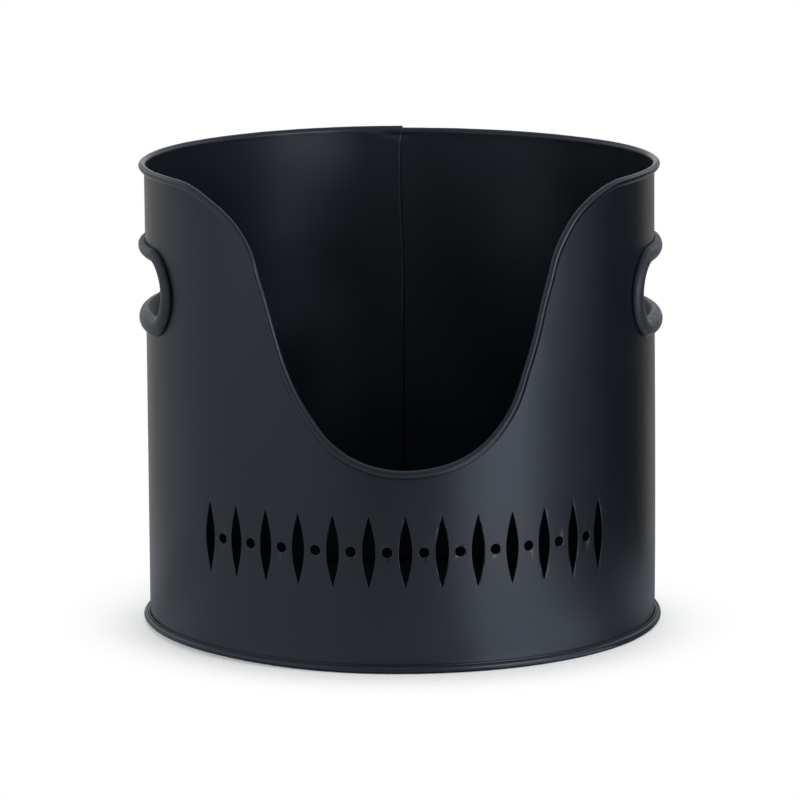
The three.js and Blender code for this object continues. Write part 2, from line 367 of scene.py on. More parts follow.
def soften(made, angle_degrees):
    """Smooth shading, with edges sharper than the angle kept crisp."""
    made.data.shade_smooth()
    made.data.set_sharp_from_angle(angle=math.radians(angle_degrees))


def arc(centre_x, centre_y, radius_x, radius_y, start_degrees, end_degrees, count):
    """Points of an ellipse's arc: centre plus the radii times the cosine and sine of the angle."""
    angle = np.radians(np.linspace(start_degrees, end_degrees, count))
    return np.stack([centre_x + radius_x * np.cos(angle), centre_y + radius_y * np.sin(angle)], axis=-1)


# The wall: steps of the rim's edge round the drum, and rows of points down its two faces
SCOOP_STEPS = 110
LEVEL_STEPS = 170
LAP_STEPS = 31
LAP_FINEST_STEP = 0.07
LAP_SPREAD = 4.6
OUTER_ROWS = 32
INNER_ROWS = 42
CROWDING_AT_RIM = 1.9

# Points nearer to each other than a sliver become one. Edges that turn by more than these degrees
# stay crisp.
SLIVER = 0.001
WALL_CRISP_FROM = 38.0
BASE_CRISP_FROM = 50.0
GRIP_CRISP_FROM = 60.0
WIRE_CRISP_FROM = 60.0


def scoop_half(count):
    """The scoop's edge from its lowest point to the level rim, as way and height.

    By length along the edge: an arc whose slope grows evenly to the flank's, a straight flank, and
    an arc whose slope falls evenly back to zero.
    """
    flank = math.pi / 2 - SCOOP_LEAN
    bottom_length = SCOOP_RADIUS * flank
    bottom_way = SCOOP_RADIUS * math.sin(flank)
    bottom_height = SCOOP_LOWEST + SCOOP_RADIUS * (1 - math.cos(flank))
    shoulder_drop = SHOULDER_RADIUS * (1 - math.cos(flank))
    rise = RIM_HEIGHT - shoulder_drop - bottom_height
    flank_length = rise / math.sin(flank)
    shoulder_length = SHOULDER_RADIUS * flank
    shoulder_way = bottom_way + rise / math.tan(flank) + SHOULDER_RADIUS * math.sin(flank)
    length = np.linspace(0.0, bottom_length + flank_length + shoulder_length, count)
    past_bottom = length - bottom_length
    past_flank = past_bottom - flank_length
    bottom_slope = length / SCOOP_RADIUS
    shoulder_slope = flank - past_flank / SHOULDER_RADIUS
    where = [past_bottom < 0, past_flank < 0]
    on_bottom = SCOOP_RADIUS * np.sin(bottom_slope)
    on_flank = bottom_way + past_bottom * math.cos(flank)
    on_shoulder = shoulder_way - SHOULDER_RADIUS * np.sin(shoulder_slope)
    way = np.select(where, [on_bottom, on_flank], on_shoulder)
    up_bottom = SCOOP_LOWEST + SCOOP_RADIUS * (1 - np.cos(bottom_slope))
    up_flank = bottom_height + past_bottom * math.sin(flank)
    up_shoulder = RIM_HEIGHT - SHOULDER_RADIUS * (1 - np.cos(shoulder_slope))
    height = np.select(where, [up_bottom, up_flank], up_shoulder)
    return way, height


def cut_shift(way, height):
    """The scoop isn't cut quite alike on both sides, so its edge moves a little round the wall."""
    left = ramp(-way, *CUT_LEFT_SPAN) * humps(height, CUT_LEFT_BELLS)
    right = ramp(way, *CUT_RIGHT_SPAN) * humps(height, CUT_RIGHT_BELLS)
    return left + right


def cut_drop(way):
    """The left shoulder is cut a little lower than the right one."""
    return humps(way, LEFT_SHOULDER_BELLS)


def rim_path():
    """The rim's edge once round from the middle of the front: way, height and slope.

    Its points lie closer together at the lap's two edges, by the hyperbolic sine of even steps.
    """
    way, height = scoop_half(SCOOP_STEPS)
    level = np.linspace(way[-1], CIRCUMFERENCE - way[-1], LEVEL_STEPS)[1:-1]
    spread = LAP_FINEST_STEP * np.sinh(np.linspace(-LAP_SPREAD, LAP_SPREAD, LAP_STEPS))
    for place in (LAP_EDGE, LAP_EDGE + LAP_WIDTH):
        level = level[np.abs(level - place) > spread[-1]]
        level = np.concatenate([level, place + spread[np.abs(spread) < LAP_WIDTH / 2]])
    level = np.sort(level)
    path_way = np.concatenate([way, level, CIRCUMFERENCE - way[:0:-1]])
    path_height = np.concatenate([height, np.full(len(level), RIM_HEIGHT), height[:0:-1]])
    near_way = around_gap(path_way, 0.0)
    path_way = path_way + cut_shift(near_way, path_height)
    path_height = path_height - cut_drop(near_way)
    around = np.concatenate([path_way[-1:] - CIRCUMFERENCE, path_way, path_way[:1] + CIRCUMFERENCE])
    rise = np.concatenate([path_height[-1:], path_height, path_height[:1]])
    path_slope = np.arctan2(rise[2:] - rise[:-2], around[2:] - around[:-2])
    return path_way[:, None], path_height[:, None], path_slope[:, None]


def lap(way):
    """How far, in sheets, the inner face is doubled and the outer face dips.

    The inner edge is a steep step and then a corner that rounds off by an exponential.
    """
    past = around_gap(way, LAP_EDGE)
    eased_out = 1.0 - smooth((past - LAP_WIDTH) / LAP_BLEND)
    sharp = LAP_SHARP_SHARE * smooth(past / LAP_SHARP_RUN + 0.5)
    rounded = (1.0 - LAP_SHARP_SHARE) * (1.0 - np.exp(-np.maximum(past, 0.0) / LAP_ROUND_RUN))
    dips = smooth((past - LAP_WIDTH) / LAP_OUTER_RUN + 0.5) * eased_out
    return (sharp + rounded) * eased_out, dips


def rim_rise(way, height):
    """The rim isn't quite level: it steps down at the lap's edge, and is a little high at the sides."""
    past = around_gap(way, LAP_EDGE)
    doubled, _ = lap(way)
    eased = smooth(past / LAP_STEP_RUN + 0.5) * (1.0 - smooth((past - LAP_WIDTH) / LAP_STEP_EASE))
    beside = smooth(0.5 - past / LAP_DROP_RUN) * (1.0 - ramp(-past, *LAP_DROP_ENDS))
    sides = ramp(np.abs(np.sin(way / WALL_RADIUS)), *SIDE_RISE_SINES)
    before = ramp(np.cos(way / WALL_RADIUS), *FRONT_SIDE_RISE_COSINES)
    side_rise = (SIDE_RISE + FRONT_SIDE_RISE * before) * sides
    rise = LAP_STEP * (eased - doubled) - LAP_DROP * beside + side_rise
    return rise * ramp(height - RIM_HEIGHT, *RISE_BELOW_RIM)


def lean_in(way):
    """The roll leans in over the inner face on the side of the lap where the sheet is single."""
    past = around_gap(way, LAP_EDGE)
    return ROLL_LEAN_IN * ramp(-past, *ROLL_LEAN_STARTS) * (1.0 - ramp(-past, *ROLL_LEAN_ENDS))


def lap_lean(way, height):
    """The seam isn't quite upright: it turns aside just below the rim, and back farther down."""
    past = around_gap(way, LAP_EDGE)
    near = 1.0 - ramp(np.abs(past), *LAP_LEAN_REACH)
    below = RIM_HEIGHT - height
    share = ramp(below, *LAP_LEAN_STARTS) - ramp(below, *LAP_LEAN_ENDS)
    return near * LAP_LEAN * share


def lap_relief(way, height):
    """Marks of the lap on the inner face, as a move outward.

    Bells down the sheet times bells along it: a shallow groove beside the lap's edge, a short deep
    dent where the two rolls meet, with a raised fold under it and a small slanting crease below, a
    swelling farther along, and a faint upright line.
    """
    past = around_gap(way, LAP_EDGE)
    below = RIM_HEIGHT - height
    groove = GROOVE_DEPTH * hump(past, *GROOVE_ALONG) * ramp(below, *GROOVE_STARTS)
    dent = DENT_DEPTH * hump(below, *DENT_DOWN) * hump(past, *DENT_ALONG)
    fold_rise = FOLD_SLOPE * np.maximum(past - FOLD_SLOPES_FROM, 0.0)
    fold = FOLD_DEPTH * hump(below + fold_rise, *FOLD_DOWN) * hump(past, *FOLD_ALONG)
    crease_rise = CREASE_SLOPE * (past - CREASE_ALONG[0])
    crease = CREASE_DEPTH * hump(below + crease_rise, *CREASE_DOWN) * hump(past, *CREASE_ALONG)
    swelling = SWELL_DEPTH * hump(below, *SWELL_DOWN) * hump(past, *SWELL_ALONG)
    line = LINE_DEPTH * hump(past, *LINE_ALONG)
    line = line * ramp(below, *LINE_STARTS) * (1.0 - ramp(below, *LINE_ENDS))
    return groove + dent + fold + crease + swelling + line


def edge_frame(path, outward, upward):
    """Points of the rim's section: up is square to the edge on the unrolled sheet."""
    way, height, slope = path
    return way - upward * np.sin(slope), height + upward * np.cos(slope), outward + 0.0 * way


def wall_rows(path, outward, count):
    """Rows of one face from the roll down to the foot, with the slight neck that rolling leaves.

    The rows lie closer together near the roll: their shares of the height are a power of even steps.
    """
    way, height, slope = path
    share = np.linspace(0.0, 1.0, count + 2)[None, 1:-1] ** CROWDING_AT_RIM
    high = height - ROLL_DEPTH * np.cos(slope)
    row_way = way + ROLL_DEPTH * np.sin(slope) + 0.0 * share
    row_height = high + (BEND_CENTRE - high) * share
    below = (high - row_height) * np.cos(slope)
    neck = -(NECK_DEPTH + lean_in(way)) * np.exp(-below / NECK_REACH)
    return row_way, row_height, outward + neck + 0.0 * share


def roll_arc(path, inset, start_degrees, end_degrees, count):
    """Points of the roll's face, set in by so much, with the small unevenness of rolling by machine.

    The section is made of three quarters that meet at its top and at its widest place: two ellipses
    of the same width and unlike heights, and below them a tip, whose width is a power of the cosine.
    """
    degrees = np.linspace(start_degrees, end_degrees, count)[None, :]
    angle = np.radians(degrees)
    cosine = np.cos(angle)
    sine = np.sin(angle)
    way = path[0]
    ripples = np.sin(way / ROLL_RIPPLE_FINE) + np.sin(way / ROLL_RIPPLE_COARSE + 1.0)
    thinner = inset - ROLL_UNEVEN * ripples * np.sin(way / ROLL_RIPPLE_GROUP)
    tip_width = ROLL_OUT - ROLL_TIP_GAP - thinner
    tip_out = ROLL_TIP_GAP + tip_width * np.maximum(cosine, 0.0) ** ROLL_TIP_POWER
    outward = np.where(degrees < 0, tip_out, ROLL_APEX + (ROLL_HALF_WIDTH - thinner) * cosine)
    inner = -ROLL_INNER_DROP + (ROLL_INNER_DROP - thinner) * sine
    outer = -ROLL_OUTER_DROP + (ROLL_OUTER_DROP - thinner) * sine
    tip = -ROLL_OUTER_DROP + (ROLL_TIP_DROP - thinner) * sine
    upward = np.where(degrees > 90, inner, np.where(degrees < 0, tip, outer))
    return edge_frame(path, outward - lean_in(way), upward)


def roll_faces(path, doubled, dips):
    """The roll's outer face down to its free edge, and its inner face back up."""
    out_inset = -LAP_STEP * doubled
    in_inset = ROLL_SHEET - LAP_STEP * dips
    return [
        roll_arc(path, out_inset, ROLL_START, 0.0, 20),
        roll_arc(path, out_inset, -5.0, -90.0, 12),
        roll_arc(path, in_inset, -90.0, 0.0, 7),
        roll_arc(path, in_inset, 15.0, ROLL_START, 9),
    ]


def foot_rows(path, section):
    """Rows of the hooked foot, from points given by radius and height."""
    way, _, slope = path
    row_way = way + ROLL_DEPTH * np.sin(slope) + 0.0 * section[None, :, 0]
    return row_way, section[None, :, 1] + 0.0 * way, section[None, :, 0] - WALL_RADIUS + 0.0 * way


def hook_section():
    """Section of the hooked foot: two arcs down the outer face, and the same arcs back, a sheet off."""
    bend = BEND_RADIUS - SHEET
    hook = HOOK_RADIUS + SHEET
    return np.concatenate([
        arc(CURL_CENTRE, BEND_CENTRE, bend, bend, 180.0, 270.0, 4),
        arc(CURL_CENTRE, CURL_RADIUS, HOOK_RADIUS, HOOK_RADIUS, -90.0, 90.0, 5)[1:],
        arc(CURL_CENTRE, CURL_RADIUS, hook, hook, 90.0, -90.0, 5),
        arc(CURL_CENTRE, BEND_CENTRE, BEND_RADIUS, BEND_RADIUS, 270.0, 180.0, 4)[1:],
    ])


def joined_rows(parts, path_count, k):
    """One of the three measures (way, height or outward) of all parts, side by side in one array."""
    rows = [np.broadcast_to(part[k], (path_count, part[k].shape[1])) for part in parts]
    return np.concatenate(rows, axis=1)


def wall_points():
    """All points of the wall's sheet.

    They go round the roll, down the outer face, round the hook and up the inner face. The lap's marks
    are put on the inner face, and on the start of the roll by smaller and smaller shares.
    """
    path = rim_path()
    doubled, dips = lap(path[0])
    roll = roll_faces(path, doubled, dips)
    outer = wall_rows(path, -SHEET * dips, OUTER_ROWS)
    foot = foot_rows(path, hook_section())
    inner = wall_rows(path, -SHEET - SHEET * doubled, INNER_ROWS)
    inner = [rows[:, ::-1] for rows in inner]
    parts = roll + [outer, foot, inner]
    way, height, outward = [joined_rows(parts, len(path[0]), k) for k in range(3)]
    inside = np.zeros(way.shape[1])
    inside[-inner[0].shape[1]:] = 1.0
    inside[:len(MARK_SHARES_ON_ROLL)] = MARK_SHARES_ON_ROLL
    outward = outward + inside * lap_relief(way, height)
    return on_drum(way + lap_lean(way, height), height + rim_rise(way, height), outward)


def slot_path(count):
    """Outline of a hand hole: way, height and outward direction, from two half circles and two runs."""
    radius = HOLE_WIDTH / 2
    half_run = (HOLE_LENGTH - HOLE_WIDTH) / 2
    cap = math.pi * radius
    total = 2 * cap + 4 * half_run
    length = np.arange(count) / count * total
    legs = [length < cap, length < cap + 2 * half_run, length < 2 * cap + 2 * half_run]
    right_angle = length / radius - math.pi / 2
    left_angle = (length - cap - 2 * half_run) / radius + math.pi / 2
    top = half_run - (length - cap)
    low = (length - 2 * cap - 2 * half_run) - half_run
    ones = np.ones(count)
    out_way = np.select(legs, [np.cos(right_angle), 0 * ones, np.cos(left_angle)], 0 * ones)
    out_height = np.select(legs, [np.sin(right_angle), ones, np.sin(left_angle)], -ones)
    centre = np.select(legs, [half_run * ones, top, -half_run * ones], low)
    return centre + radius * out_way, radius * out_height, out_way, out_height, length, total


def leaf_path():
    """A leaf standing upright: its half width is a sine of the height, so both ends are pointed."""
    up = np.linspace(0.0, 1.0, LEAF_STEPS)
    half = LEAF_WIDTH / 2 * np.sin(np.pi * up)
    way = np.concatenate([half, -half[-2:0:-1]])
    height = LEAF_HEIGHT * (np.concatenate([up, up[-2:0:-1]]) - 0.5)
    return way, height


def outline_normals(way, height):
    """Outward directions of a closed outline, from the chord between each point's neighbours."""
    run = np.roll(way, -1) - np.roll(way, 1)
    rise = np.roll(height, -1) - np.roll(height, 1)
    length = np.hypot(run, rise)
    return rise / length, -run / length


def cutter_points(way, height, out_way, out_height, middle_way, middle_height):
    """A plug through the wall that widens a little at both faces, so that the cut's edges are round."""
    into_sheet = np.array(CUT_DEPTH_SHARES) * CUT_ROUNDING
    widening = np.array(CUT_WIDENING_SHARES) * CUT_ROUNDING
    inner_face = np.concatenate([[-PLUG_REACH], into_sheet - SHEET])
    outer_face = np.concatenate([-into_sheet[::-1], [PLUG_REACH]])
    depth = np.concatenate([inner_face, outer_face])[:, None]
    margin = np.concatenate([widening[:1], widening, widening[::-1], widening[:1]])[:, None]
    ring_way = middle_way + way[None, :] + margin * out_way[None, :]
    ring_height = middle_height + height[None, :] + margin * out_height[None, :]
    return on_drum(ring_way, ring_height, depth + 0.0 * ring_way)


def cutter_parts():
    """The plugs of the hand holes, the leaves and the dots."""
    parts = []
    way, height, out_way, out_height, _, _ = slot_path(HOLE_STEPS)
    for side, middle_height, high, narrower in HAND_HOLES:
        bite = GRIP_BITE + grip_shift(GRIP_BITE, out_height, high, narrower)
        outline = (way + bite * out_way, height + bite * out_height, out_way, out_height)
        parts.append(cutter_points(*outline, side * BACK / 2, middle_height))
    pitch = BAND_LENGTH / (LEAF_COUNT - 1)
    leaf_way, leaf_height = leaf_path()
    leaf_out = outline_normals(leaf_way, leaf_height)
    turn = np.arange(DOT_SIDES) / DOT_SIDES * 2 * np.pi
    dot = (DOT_RADIUS * np.cos(turn), DOT_RADIUS * np.sin(turn), np.cos(turn), np.sin(turn))
    for k in range(LEAF_COUNT):
        middle = pitch * k - BAND_LENGTH / 2
        parts.append(cutter_points(leaf_way, leaf_height, *leaf_out, middle, BAND_HEIGHT))
        if k < LEAF_COUNT - 1:
            parts.append(cutter_points(*dot, middle + pitch / 2, BAND_HEIGHT))
    return parts


def plug_object(name, parts):
    """One mesh of many closed plugs. Each plug's rings are joined, and its two ends are flat faces."""
    points, faces, first = [], [], 0
    for part in parts:
        ring_count, point_count = part.shape[:2]
        faces += ring_quads(ring_count, point_count, ring_loop=False, first=first).tolist()
        faces.append(list(range(first + point_count - 1, first - 1, -1)))
        last = first + (ring_count - 1) * point_count
        faces.append(list(range(last, last + point_count)))
        points.append(part.reshape(-1, 3))
        first += ring_count * point_count
    return mesh_object(name, np.concatenate(points), faces)


def wall_object():
    """The wall's sheet with its openings cut through it, without the slivers that cutting leaves."""
    points = wall_points()
    whole = mesh_object("wall_whole", points, ring_quads(*points.shape[:2]).tolist())
    plugs = plug_object("wall_plugs", cutter_parts())
    cut = whole.modifiers.new("openings", "BOOLEAN")
    cut.operation = "DIFFERENCE"
    cut.solver = "EXACT"
    cut.object = plugs
    evaluated = whole.evaluated_get(bpy.context.evaluated_depsgraph_get())
    mesh = bpy.data.meshes.new_from_object(evaluated)
    made = placed("wall_sheet", mesh)
    bpy.data.objects.remove(whole)
    bpy.data.objects.remove(plugs)
    mesh.materials.clear()
    weld(mesh, SLIVER)
    soften(made, WALL_CRISP_FROM)
    return made


def wire_object():
    """The stiffening wire: a round section carried along the middle of the roll, with two flat ends.

    Its ends leave a small gap under the lap.
    """
    way, height, slope = rim_path()
    past = around_gap(way, LAP_EDGE + LAP_WIDTH / 2)[:, 0]
    first = np.argmin(np.where(past > WIRE_END_GAP / 2, past, CIRCUMFERENCE))
    kept = np.roll(np.arange(len(past)), -first)
    kept = kept[np.abs(past[kept]) > WIRE_END_GAP / 2]
    path = way[kept], height[kept], slope[kept]
    turn = -(np.arange(WIRE_SIDES) / WIRE_SIDES * 2 * np.pi)[None, :]
    outward = WIRE_OUT + WIRE_RADIUS * np.cos(turn)
    upward = -WIRE_DROP + WIRE_RADIUS * np.sin(turn)
    ring_way, ring_height, ring_out = edge_frame(path, outward, upward)
    points = on_drum(ring_way, ring_height + rim_rise(ring_way, ring_height), ring_out)
    made = plug_object("wire_round_the_rim", [points])
    soften(made, WIRE_CRISP_FROM)
    return made


# The base
def base_profile():
    """Section of the base from the middle of its underside, round the curl, to the middle on top."""
    low_curl = arc(CURL_CENTRE, CURL_RADIUS, CURL_RADIUS, CURL_RADIUS, -90.0, 72.0, 23)
    inside_radius = CURL_RADIUS - SHEET
    inside_curl = arc(CURL_CENTRE, CURL_RADIUS, inside_radius, inside_radius, 75.0, -90.0, 12)
    lip = np.concatenate([LIP_GROOVE, LIP_TOP, LIP_BACK]) + np.array([[WALL_RADIUS, 0.0]])
    run = np.linspace(0.0, 1.0, DISH_STEPS)[:, None]
    dish = np.concatenate([DISH_RADIUS - DISH_SLOPE * (1 - run), DISH_RISE * (1 - smooth(run))], axis=1)
    reach = (DISH_RADIUS - DISH_SLOPE) * np.linspace(0.0, 1.0, FLAT_STEPS)[1:-1, None]
    flat = np.concatenate([reach, DISH_RISE + 0.0 * reach], axis=1)
    under = np.concatenate([[[0.0, DISH_RISE]], flat, dish])
    over = under[::-1] + np.array([[0.0, SHEET]])
    return np.concatenate([under, low_curl, lip, inside_curl, over])


def base_object():
    """The base: its section turned about the upright axis, with a single point at each pole."""
    profile = base_profile()
    angle = np.arange(BASE_STEPS)[:, None] / BASE_STEPS * 2 * np.pi
    rim = profile[None, 1:-1]
    way_angle = angle + np.pi / 2
    off_true = np.minimum(out_of_true(way_angle, rim[..., 1]), RIGHT_AT_FOOT)
    reach = 1.0 + off_true / WALL_RADIUS
    lift = foot_lift(way_angle, rim[..., 1]) * ramp(rim[..., 0], *BASE_LIFT_RADII)
    x = rim[..., 0] * reach * np.cos(angle)
    y = rim[..., 0] * reach * np.sin(angle)
    rings = np.stack([x, y, rim[..., 1] + lift + 0.0 * x], axis=-1)
    count = rings.shape[1]
    poles = np.array([[0.0, 0.0, profile[0, 1]], [0.0, 0.0, profile[-1, 1]]])
    points = np.concatenate([rings.reshape(-1, 3), poles]) * MM
    quads = ring_quads(BASE_STEPS, count, point_loop=False)[:, ::-1]
    here = np.arange(BASE_STEPS) * count
    there = np.roll(here, -1)
    low_pole = np.full(BASE_STEPS, BASE_STEPS * count)
    triangles = np.concatenate([
        np.stack([here, low_pole, there], axis=-1),
        np.stack([there + count - 1, low_pole + 1, here + count - 1], axis=-1),
    ])
    made = mesh_object("base_disc", points, quads.tolist() + triangles.tolist())
    soften(made, BASE_CRISP_FROM)
    return made


# The grips
def grip_shift(along, out_height, high, narrower):
    """Along the hole's level runs the edging is narrower, and its inner edge lies a little high."""
    share = along / GRIP_WIDTH
    off_width = np.where(out_height > 0, narrower, GRIP_NARROWER_BELOW) * np.abs(out_height)
    return high * out_height * (1.0 - share) - off_width * share


def grip_section(outside):
    """Section of the rubber edging: an oval whose outer lips tuck in under themselves to the wall."""
    lip = GRIP_WIDTH - GRIP_CREST
    tip = OUTSIDE_LIP_RADIUS
    outer = np.concatenate([
        arc(GRIP_WIDTH - tip, tip, tip, OUTSIDE_LIP_TUCK, -90.0, 0.0, 6)[:-1],
        arc(GRIP_CREST, tip, lip, outside - tip, 0.0, 90.0, 14)[:-1],
        arc(GRIP_CREST, -SHEET / 2, GRIP_CREST, outside + SHEET / 2, 90.0, 180.0, 14),
    ])
    tip = INSIDE_LIP_RADIUS
    gap = SHEET + INSIDE_LIP_GAP
    inner = np.concatenate([
        arc(GRIP_CREST, -SHEET / 2, GRIP_CREST, GRIP_INSIDE - SHEET / 2, 180.0, 270.0, 14)[1:-1],
        arc(GRIP_CREST, -gap, lip, GRIP_INSIDE - gap, 270.0, 360.0, 12)[:-1],
        arc(GRIP_WIDTH - tip, -gap, tip, INSIDE_LIP_TUCK, 0.0, 90.0, 6),
    ])
    bottom = GRIP_BITE - GRIP_CLEARANCE
    slot = np.array([[bottom, -SHEET - GRIP_CLEARANCE], [bottom, GRIP_CLEARANCE]])
    return np.concatenate([outer, inner, slot])


def waves_round(turn, phase, waves):
    """The sum of a table of waves round the hole."""
    return sum(size * np.sin(count * turn + start + share * phase) for size, count, start, share in waves)


def grip_object(name, hole, outside, phase):
    """The section carried round the hand hole. The lips are nipped in irregularly, as soft edging is."""
    side, middle_height, high, narrower = hole
    section = grip_section(outside)[::-1]
    way, height, out_way, out_height, length, total = slot_path(GRIP_STEPS)
    turn = (2 * np.pi * length / total)[:, None]
    nips = waves_round(turn, phase, NIPS)
    sag = np.abs(waves_round(turn, phase, SAGS))
    out_way = out_way[:, None]
    out_height = out_height[:, None]
    from_edge = section[None, :, 0]
    off_wall = section[None, :, 1]
    at_lip = ramp(from_edge, GRIP_CREST, GRIP_WIDTH)
    along = from_edge + at_lip * (NIP_SIZE * nips - NIP_SET_IN)
    along = along + grip_shift(from_edge, out_height, high, narrower)
    standing = off_wall * (1.0 - SAG_SHARE * sag * (off_wall > SAGS_FROM))
    lifted = standing + at_lip * NIP_LIFT * np.maximum(nips, 0.0) * (off_wall > 0)
    ring_way = side * BACK / 2 + way[:, None] + along * out_way
    ring_height = middle_height + height[:, None] + along * out_height
    points = on_drum(ring_way, ring_height, np.minimum(lifted, outside))
    made = mesh_object(name, points, ring_quads(*points.shape[:2]).tolist())
    soften(made, GRIP_CRISP_FROM)
    return made


# Materials. The mix node names its sockets alike for every kind of data, so its colours go by number.
MIX_FACTOR, MIX_FIRST, MIX_SECOND = 0, 6, 7
MIX_RESULT = 2


def linear(colour_hex):
    """A hex colour as written for the screen, turned to linear light, with an alpha of one."""
    parts = [int(colour_hex[k:k + 2], 16) / 255 for k in (1, 3, 5)]
    return [p / 12.92 if p <= 0.04045 else ((p + 0.055) / 1.055) ** 2.4 for p in parts] + [1.0]


def add(tree, kind, inputs=None, **settings):
    """Adds a node: settings are its own properties, inputs are values or sockets for its inputs."""
    made = tree.nodes.new(kind)
    for key, value in settings.items():
        setattr(made, key, value)
    for key, value in (inputs or {}).items():
        if isinstance(value, bpy.types.NodeSocket):
            tree.links.new(value, made.inputs[key])
        else:
            made.inputs[key].default_value = value
    return made


def per_metre(size_mm):
    """Scale of a pattern whose cells are that many millimetres across, on coordinates in metres."""
    return 1.0 / (size_mm * MM)


def noise(tree, place, size_mm, detail):
    """Cloudy noise, about that many millimetres from one cloud to the next."""
    inputs = {"Vector": place, "Scale": per_metre(size_mm), "Detail": detail}
    return add(tree, "ShaderNodeTexNoise", inputs).outputs["Fac"]


def tint(tree, share, dark, light):
    """A colour between two hex colours."""
    inputs = {MIX_FACTOR: share, MIX_FIRST: linear(dark), MIX_SECOND: linear(light)}
    return add(tree, "ShaderNodeMix", inputs, data_type="RGBA").outputs[MIX_RESULT]


def roughness(tree, share, low, high):
    """Roughness that follows a noise, which seldom leaves its middle range."""
    inputs = {"Value": share, "From Min": 0.3, "From Max": 0.7, "To Min": low, "To Max": high}
    return add(tree, "ShaderNodeMapRange", inputs).outputs["Result"]


def bump(tree, height, strength, depth_mm, **under):
    """The normal of a bump of that depth, on top of the normal under it."""
    inputs = {"Height": height, "Strength": strength, "Distance": depth_mm * MM, **under}
    return add(tree, "ShaderNodeBump", inputs).outputs["Normal"]


def principled(tree, output, inputs):
    """The surface's shader."""
    shader = add(tree, "ShaderNodeBsdfPrincipled", inputs)
    tree.links.new(shader.outputs["BSDF"], output.inputs["Surface"])


def new_material(name):
    """An empty node material with its output and the object's own coordinates."""
    material = bpy.data.materials.new(name)
    material.use_nodes = True
    tree = material.node_tree
    tree.nodes.clear()
    output = add(tree, "ShaderNodeOutputMaterial")
    place = add(tree, "ShaderNodeTexCoord").outputs["Object"]
    return material, tree, output, place


def powder_coat(name, dark, light, nib_size_mm):
    """Satin black powder coat, sprayed and baked on steel.

    It gives the eye a near black with a soft, slightly uneven sheen, the faint orange peel of the
    melted powder, and here and there a speck of dust that was baked in.
    """
    material, tree, output, place = new_material(name)
    # Real orange peel is about 1.5 mm across and too fine for the render, so it is drawn at 2.5 mm
    peel = noise(tree, place, size_mm=2.5, detail=2.0)
    cloud = noise(tree, place, size_mm=45, detail=3.0)
    nibs = add(tree, "ShaderNodeTexVoronoi", {"Vector": place, "Scale": per_metre(nib_size_mm)})
    speck = add(tree, "ShaderNodeMapRange", {
        "Value": nibs.outputs["Distance"], "From Min": 0.02, "From Max": 0.045,
        "To Min": 1.0, "To Max": 0.0,
    })
    peel_bump = bump(tree, peel, strength=0.06, depth_mm=0.4)
    nib_bump = bump(tree, speck.outputs["Result"], strength=0.5, depth_mm=0.2, Normal=peel_bump)
    principled(tree, output, {
        "Base Color": tint(tree, cloud, dark, light), "Roughness": roughness(tree, cloud, 0.33, 0.37),
        "IOR": 1.5, "Normal": nib_bump,
    })
    return material


def moulded_rubber(name, dark, light):
    """Black rubber edging, moulded and bent round the hole.

    It gives the eye a soft grey-black sheen, a fine matt grain, and shallow dimples from the bending.
    """
    material, tree, output, place = new_material(name)
    grain = noise(tree, place, size_mm=1.2, detail=3.0)
    dimples = noise(tree, place, size_mm=6, detail=1.0)
    dimple_bump = bump(tree, dimples, strength=0.35, depth_mm=1.2)
    principled(tree, output, {
        "Base Color": tint(tree, dimples, dark, light), "Roughness": roughness(tree, dimples, 0.48, 0.58),
        "IOR": 1.52, "Sheen Weight": 0.16, "Sheen Roughness": 0.4,
        "Normal": bump(tree, grain, strength=0.1, depth_mm=0.3, Normal=dimple_bump),
    })
    return material


def drawn_wire(name):
    """Bare mild-steel wire, drawn through a die: to the eye a grey metal, clouded by a little oxide."""
    material, tree, output, place = new_material(name)
    oxide = noise(tree, place, size_mm=8, detail=4.0)
    principled(tree, output, {
        "Base Color": tint(tree, oxide, "#8f9396", "#6e6a66"),
        "Roughness": roughness(tree, oxide, 0.3, 0.5), "Metallic": 1.0,
    })
    return material


# The camera, in millimetres and degrees
CAMERA_TARGET = (-0.67, 0.0, 130.05)
CAMERA_DISTANCE = 2950.6
CAMERA_AZIMUTH = -0.8
CAMERA_ELEVATION = 10.546
CAMERA_ROLL = -0.224
CAMERA_LENS = 224.04
CAMERA_SENSOR = 36.0


def make_camera():
    """The photograph's viewpoint: slightly above, slightly to the left of straight on."""
    target = Vector(CAMERA_TARGET) * MM
    distance = CAMERA_DISTANCE * MM
    azimuth = math.radians(CAMERA_AZIMUTH)
    elevation = math.radians(CAMERA_ELEVATION)
    roll = math.radians(CAMERA_ROLL)
    back = Vector((
        math.sin(azimuth) * math.cos(elevation),
        -math.cos(azimuth) * math.cos(elevation),
        math.sin(elevation),
    ))
    right = Vector((math.cos(azimuth), math.sin(azimuth), 0.0))
    up = back.cross(right)
    x_axis = right * math.cos(roll) + up * math.sin(roll)
    y_axis = up * math.cos(roll) - right * math.sin(roll)
    data = bpy.data.cameras.new("camera")
    data.lens = CAMERA_LENS
    data.sensor_width = CAMERA_SENSOR
    camera = placed("camera", data)
    turn = Matrix((x_axis, y_axis, back)).transposed()
    camera.matrix_world = Matrix.Translation(target + back * distance) @ turn.to_4x4()
    bpy.context.scene.camera = camera


# The studio. A strength of 1 is white.
SURROUND_RADIUS = 1300.0
SURROUND_LOW = -600.0
SURROUND_HIGH = 900.0
EVEN_LIGHT = 0.45
FLOOR_REACH = 1500.0
FLOOR_FADE = (110.0, 210.0)


